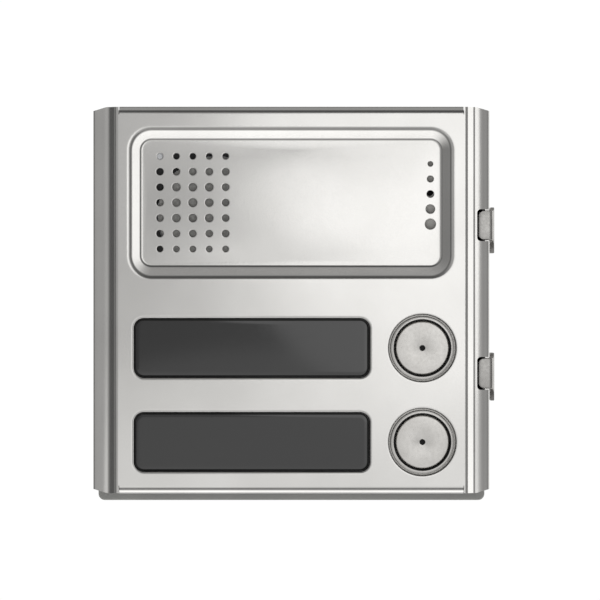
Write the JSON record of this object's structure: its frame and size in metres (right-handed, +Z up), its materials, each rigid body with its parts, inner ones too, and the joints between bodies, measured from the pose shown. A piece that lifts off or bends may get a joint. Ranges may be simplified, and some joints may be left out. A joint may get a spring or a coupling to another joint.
{
  "type": "door intercom panel",
  "caption": "Square stainless entry module: sunken speech tray with grille and microphone holes, two name windows, two bell buttons, hooks on the right and a grey rear housing.",
  "frame": {"origin": "centre of the rear housing's flat back, where it seats in the wall box", "axes": "+Z up, +X to the caller's right, +Y out of the back into the wall; the front looks along -Y"},
  "size_m": [0.1005, 0.0302, 0.0989],
  "materials": {
    "satin_stainless": "satin-polished stainless sheet, smooth with a very fine grain",
    "turned_stainless": "fine satin stainless, turned and bead-finished",
    "spring_steel": "bare spring-tempered stainless strip and wire, satin",
    "zinc_plate": "bright zinc-plated steel",
    "smoked_window": "smoked polycarbonate, smooth",
    "card_paper": "blank white name card",
    "opal_guide": "opal acrylic",
    "white_moulding": "white moulded plastic",
    "black_moulding": "black glass-filled plastic",
    "grey_housing": "mid-grey moulded housing with a fine spark-eroded grain",
    "black_rubber": "black sealing rubber",
    "grey_rubber": "grey silicone",
    "grey_gauze": "fine grey acoustic gauze",
    "cone_paper": "pressed loudspeaker paper",
    "green_board": "green solder mask on glass laminate",
    "green_terminal": "green terminal moulding",
    "blue_trimmer": "blue trimmer moulding"
  },
  "bodies": {
    "module": {"fascia": "satin_stainless", "front_carrier": "black_moulding", "window_gasket_upper": "black_rubber", "name_window_upper": "smoked_window", "name_card_upper": "card_paper", "light_guide_upper": "opal_guide", "lamp_strip_upper": "white_moulding", "button_gasket_upper": "black_rubber", "button_bezel_upper": "turned_stainless", "button_switch_upper": "black_moulding", "window_gasket_lower": "black_rubber", "name_window_lower": "smoked_window", "name_card_lower": "card_paper", "light_guide_lower": "opal_guide", "lamp_strip_lower": "white_moulding", "button_gasket_lower": "black_rubber", "button_bezel_lower": "turned_stainless", "button_switch_lower": "black_moulding", "speaker_gauze": "grey_gauze", "speaker_gasket": "black_rubber", "speaker_frame": "zinc_plate", "speaker_cone": "cone_paper", "speaker_magnet": "zinc_plate", "speaker_screw_upper": "zinc_plate", "speaker_screw_lower": "zinc_plate", "microphone_boot": "grey_rubber", "microphone_capsule": "zinc_plate", "button_board": "green_board", "audio_board": "green_board", "board_link": "black_moulding", "rear_seal": "black_rubber", "rear_housing": "grey_housing", "side_hook_upper": "spring_steel", "hook_screw_upper": "zinc_plate", "side_hook_lower": "spring_steel", "hook_screw_lower": "zinc_plate", "housing_screw_1": "zinc_plate", "housing_screw_2": "zinc_plate", "housing_screw_3": "zinc_plate", "housing_screw_4": "zinc_plate", "terminal_block": "green_terminal", "terminal_screw_1": "zinc_plate", "terminal_screw_2": "zinc_plate", "terminal_screw_3": "zinc_plate", "terminal_screw_4": "zinc_plate", "link_socket": "black_moulding", "speaker_trimmer": "blue_trimmer", "microphone_trimmer": "blue_trimmer"},
    "upper_button": {"button_cap_upper": "turned_stainless", "button_plunger_upper": "black_moulding", "button_spring_upper": "spring_steel", "switch_slider_upper": "white_moulding"},
    "lower_button": {"button_cap_lower": "turned_stainless", "button_plunger_lower": "black_moulding", "button_spring_lower": "spring_steel", "switch_slider_lower": "white_moulding"},
    "speaker_volume_rotor": {"speaker_trimmer_rotor": "white_moulding"},
    "microphone_volume_rotor": {"microphone_trimmer_rotor": "white_moulding"}
  },
  "joints": [
    {"name": "upper_button_press", "type": "slide", "parent": "module", "child": "upper_button", "axis": [0, 1, 0], "range_m": [0, 0.0012], "stiffness_N_per_m": 700, "springref_m": -0.002, "deforming": ["button_spring_upper"]},
    {"name": "lower_button_press", "type": "slide", "parent": "module", "child": "lower_button", "axis": [0, 1, 0], "range_m": [0, 0.0012], "stiffness_N_per_m": 700, "springref_m": -0.002, "deforming": ["button_spring_lower"]},
    {"name": "speaker_volume_turn", "type": "hinge", "parent": "module", "child": "speaker_volume_rotor", "pos_m": [0.012, -0.002, -0.036], "axis": [0, 1, 0], "range_deg": [-135, 135]},
    {"name": "microphone_volume_turn", "type": "hinge", "parent": "module", "child": "microphone_volume_rotor", "pos_m": [0.026, -0.002, -0.036], "axis": [0, 1, 0], "range_deg": [-135, 135]}
  ]
}
